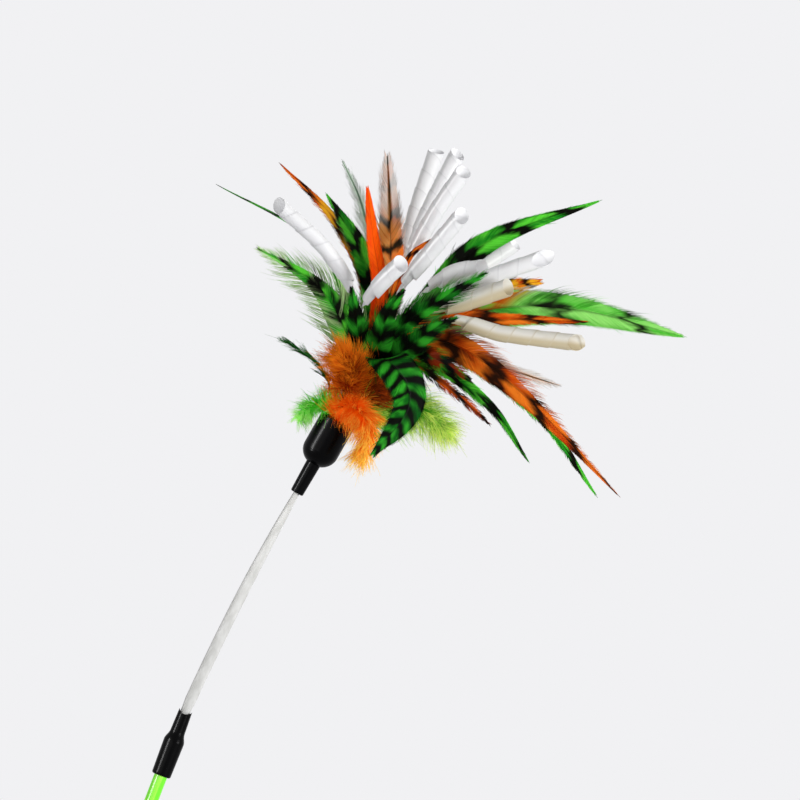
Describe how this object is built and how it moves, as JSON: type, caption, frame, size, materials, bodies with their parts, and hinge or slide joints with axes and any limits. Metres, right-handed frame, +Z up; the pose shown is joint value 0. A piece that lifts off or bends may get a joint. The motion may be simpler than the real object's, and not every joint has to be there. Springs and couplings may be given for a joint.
{
  "type": "cat teaser wand",
  "caption": "Slim hand wand whose springy twisted strip carries a cup of barred feathers, spiral film curls and soft down that sways when the grip is flicked.",
  "frame": {"origin": "centre of the grip sleeve, on the rod's axis", "axes": "+Z up the rod towards the feathers, -Y the side the plume is arranged to face, +X its right"},
  "size_m": [0.1907, 0.1164, 0.5631],
  "materials": {
    "moulded_black": "semi-gloss",
    "grip_black": "matte",
    "green_acrylic": "clear, fluorescent edge",
    "milky_strip": "milky satin",
    "glue": "cured resin",
    "curl_film": "satin film",
    "feather_green": "barred feather",
    "feather_pale_green": "barred feather",
    "feather_orange": "barred feather",
    "feather_red_orange": "plain feather",
    "feather_tan": "barred feather",
    "down_orange": "loose down",
    "down_green": "loose down",
    "down_yellow_green": "loose down"
  },
  "bodies": {
    "wand": {"butt_cap": "moulded_black", "grip_sleeve": "grip_black", "rod": "green_acrylic", "reducer_sleeve": "moulded_black", "flex_link_root": "milky_strip"},
    "link_lower": {"flex_link_lower": "milky_strip"},
    "link_middle": {"flex_link_middle": "milky_strip"},
    "link_upper": {"flex_link_upper": "milky_strip"},
    "head": {"flex_link_tip": "milky_strip", "feather_cup": "moulded_black", "glue_plug": "glue", "green_feather_thin_left": "feather_green", "green_feather_broad_left": "feather_green", "green_feather_short_left": "feather_green", "orange_feather_narrow_left": "feather_orange", "green_feather_upper_left": "feather_green", "pale_feather_top": "feather_pale_green", "red_orange_feather_top": "feather_red_orange", "barred_tan_feather_top": "feather_tan", "orange_feather_hooked": "feather_orange", "green_feather_upper_right": "feather_green", "green_feather_far_right": "feather_pale_green", "orange_feather_back_right": "feather_orange", "brown_feather_right": "feather_orange", "orange_feather_low_right": "feather_orange", "pale_orange_feather_right": "feather_tan", "green_feather_low_right": "feather_green", "green_feather_lowest_right": "feather_green", "orange_feather_thin_low": "feather_orange", "green_feather_hanging": "feather_green", "green_feather_front_left": "feather_green", "green_feather_front": "feather_green", "green_feather_front_right": "feather_green", "pale_feather_right": "feather_pale_green", "green_feather_front_low": "feather_green", "green_feather_back_left": "feather_green", "orange_feather_back": "feather_orange", "green_feather_back_right": "feather_green", "orange_feather_back_low": "feather_orange", "curl_left": "curl_film", "curl_short_front": "curl_film", "curl_top_back": "curl_film", "curl_top_middle": "curl_film", "curl_top_front": "curl_film", "curl_upper_front": "curl_film", "curl_stub": "curl_film", "curl_pale_back": "curl_film", "curl_right_upper": "curl_film", "curl_right_middle": "curl_film", "curl_right_low": "curl_film", "orange_down_front": "down_orange", "green_down_left": "down_green", "orange_down_hanging": "down_orange", "yellow_green_down_right": "down_yellow_green", "green_down_upper_left": "down_green", "orange_down_right": "down_orange", "orange_down_back": "down_orange", "green_down_back": "down_green"}
  },
  "joints": [
    {"name": "sway_side", "type": "hinge", "parent": "wand", "child": "link_lower", "pos_m": [0.00076, 0, 0.26819], "axis": [0, 1, 0], "range_deg": [-30, 30], "stiffness_Nm_per_rad": 0.12},
    {"name": "sway_fore", "type": "hinge", "parent": "link_lower", "child": "link_middle", "pos_m": [0.00268, 0, 0.29153], "axis": [1, 0, 0], "range_deg": [-30, 30], "stiffness_Nm_per_rad": 0.12},
    {"name": "sway_side_upper", "type": "hinge", "parent": "link_middle", "child": "link_upper", "pos_m": [0.00513, 0, 0.31483], "axis": [0, 1, 0], "range_deg": [-30, 30], "stiffness_Nm_per_rad": 0.12},
    {"name": "sway_fore_upper", "type": "hinge", "parent": "link_upper", "child": "head", "pos_m": [0.0081, 0, 0.33806], "axis": [1, 0, 0], "range_deg": [-30, 30], "stiffness_Nm_per_rad": 0.12}
  ],
  "couplings": [
    {"joint": "sway_side_upper", "follows": "sway_side", "ratio": 1},
    {"joint": "sway_fore_upper", "follows": "sway_fore", "ratio": 1}
  ]
}
